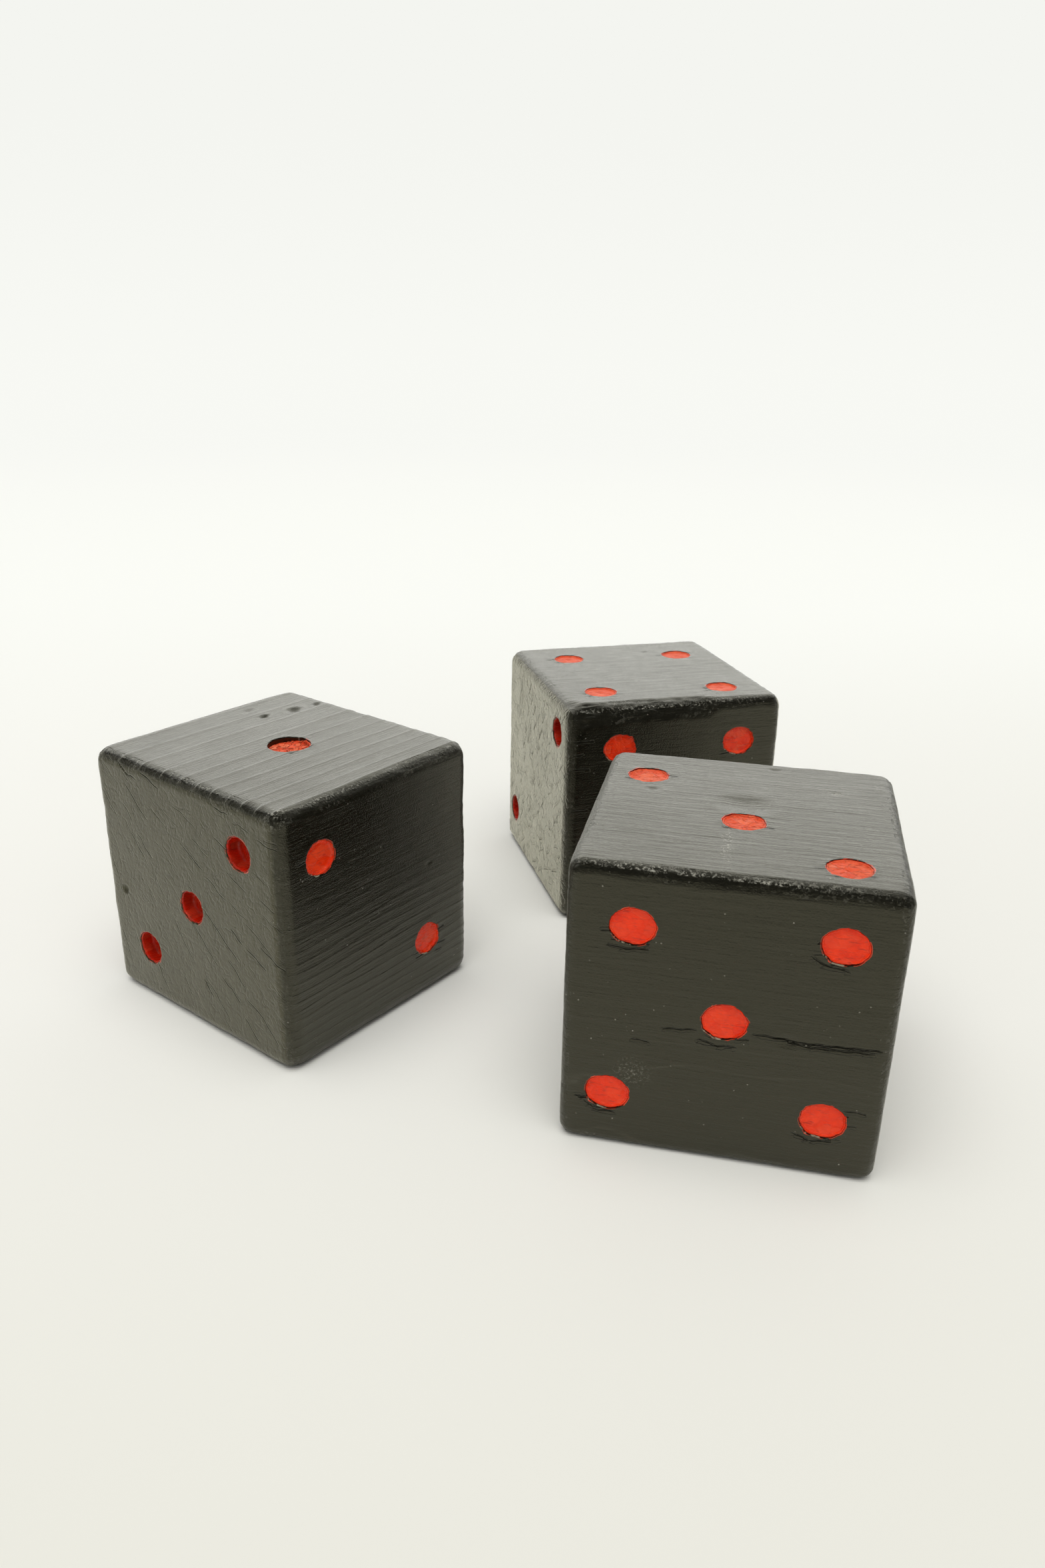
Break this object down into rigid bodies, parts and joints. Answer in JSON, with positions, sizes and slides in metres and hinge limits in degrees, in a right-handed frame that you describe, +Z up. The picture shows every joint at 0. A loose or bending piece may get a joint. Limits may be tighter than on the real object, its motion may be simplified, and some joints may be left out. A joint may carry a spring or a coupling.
{
  "type": "giant yard dice set",
  "caption": "Set of loose giant wooden yard dice: square black-painted blocks with rounded edges and drilled pips filled with red enamel, rolled by hand on a lawn.",
  "frame": {"origin": "on the ground, below the middle of the set's bounding box", "axes": "+Z up from the ground; +Y from the front die towards the back die; +X to the right, from the left die towards the front die"},
  "size_m": [0.2586, 0.2536, 0.09],
  "materials": {
    "black_painted_wood": "semi-gloss black paint on sawn softwood, grain showing through, worn along the edges",
    "red_enamel": "gloss orange-red enamel, brushed into drilled recesses"
  },
  "bodies": {
    "left_die": {"left_die_block": "black_painted_wood", "left_die_pips_1": "red_enamel", "left_die_pips_2": "red_enamel", "left_die_pips_3": "red_enamel", "left_die_pips_4": "red_enamel", "left_die_pips_5": "red_enamel", "left_die_pips_6": "red_enamel"},
    "front_die": {"front_die_block": "black_painted_wood", "front_die_pips_1": "red_enamel", "front_die_pips_2": "red_enamel", "front_die_pips_3": "red_enamel", "front_die_pips_4": "red_enamel", "front_die_pips_5": "red_enamel", "front_die_pips_6": "red_enamel"},
    "back_die": {"back_die_block": "black_painted_wood", "back_die_pips_1": "red_enamel", "back_die_pips_2": "red_enamel", "back_die_pips_3": "red_enamel", "back_die_pips_4": "red_enamel", "back_die_pips_5": "red_enamel", "back_die_pips_6": "red_enamel"}
  },
  "joints": [
    {"name": "left_tumble", "type": "hinge", "parent": "front_die", "child": "left_die", "pos_m": [-0.10083, 0.00269, 0.006], "axis": [-0.6088, -0.7934, 0], "range_deg": [0, 90]},
    {"name": "back_tumble", "type": "hinge", "parent": "front_die", "child": "back_die", "pos_m": [0.04918, 0.11062, 0.006], "axis": [-0.9636, -0.2672, 0], "range_deg": [0, 90]}
  ]
}
